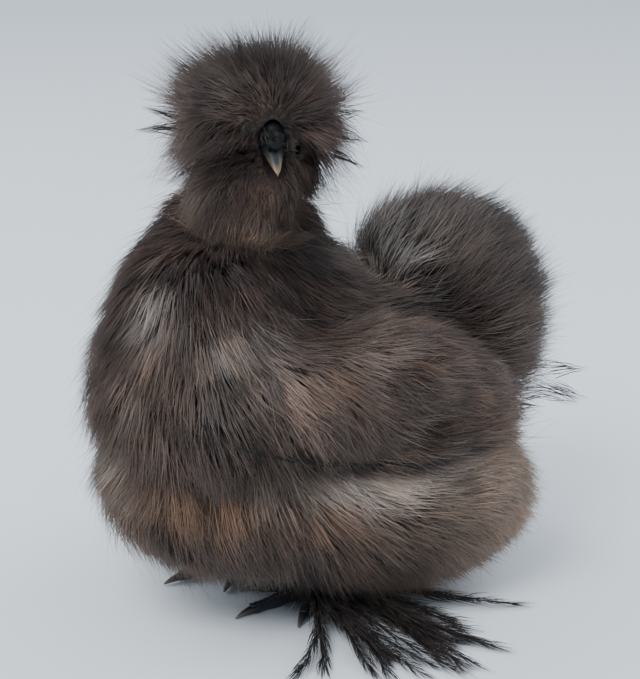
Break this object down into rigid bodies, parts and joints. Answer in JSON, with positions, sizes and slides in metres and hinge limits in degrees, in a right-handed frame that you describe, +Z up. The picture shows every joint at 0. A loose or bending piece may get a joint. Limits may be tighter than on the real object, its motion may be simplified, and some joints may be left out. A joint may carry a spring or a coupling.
{
  "type": "silkie chicken",
  "caption": "Life-size bearded silkie hen, standing with her head turned, in a fluffy dark coat with a round crest and feathered feet.",
  "frame": {"origin": "on the floor under the middle of the bird's bounding box", "axes": "+Z up, -Y the way the breast faces, +X the bird's left side"},
  "size_m": [0.2704, 0.288, 0.307],
  "materials": {
    "plumage": "dark umber and charcoal silky down, soft and matt with a faint sheen",
    "bare_skin": "blue-black bare skin, finely wrinkled",
    "foot": "slate-black scaly shank and toes with dark stringy feathering",
    "horn": "smooth dark slate horn, paler at the tips",
    "eye": "glossy black-brown eye"
  },
  "bodies": {
    "root": {"torso": "plumage", "neck": "plumage", "crest": "plumage", "beard": "plumage", "tail": "plumage", "wing_left": "plumage", "wing_right": "plumage", "thigh_left": "plumage", "thigh_right": "plumage", "head": "bare_skin", "comb": "bare_skin", "foot_left": "foot", "foot_right": "foot", "bill_upper": "horn", "bill_lower": "horn", "claw_left_inner": "horn", "claw_left_middle": "horn", "claw_left_outer": "horn", "claw_left_back": "horn", "claw_left_fifth": "horn", "claw_right_inner": "horn", "claw_right_middle": "horn", "claw_right_outer": "horn", "claw_right_back": "horn", "claw_right_fifth": "horn", "eye_left": "eye", "eye_right": "eye"}
  },
  "joints": []
}
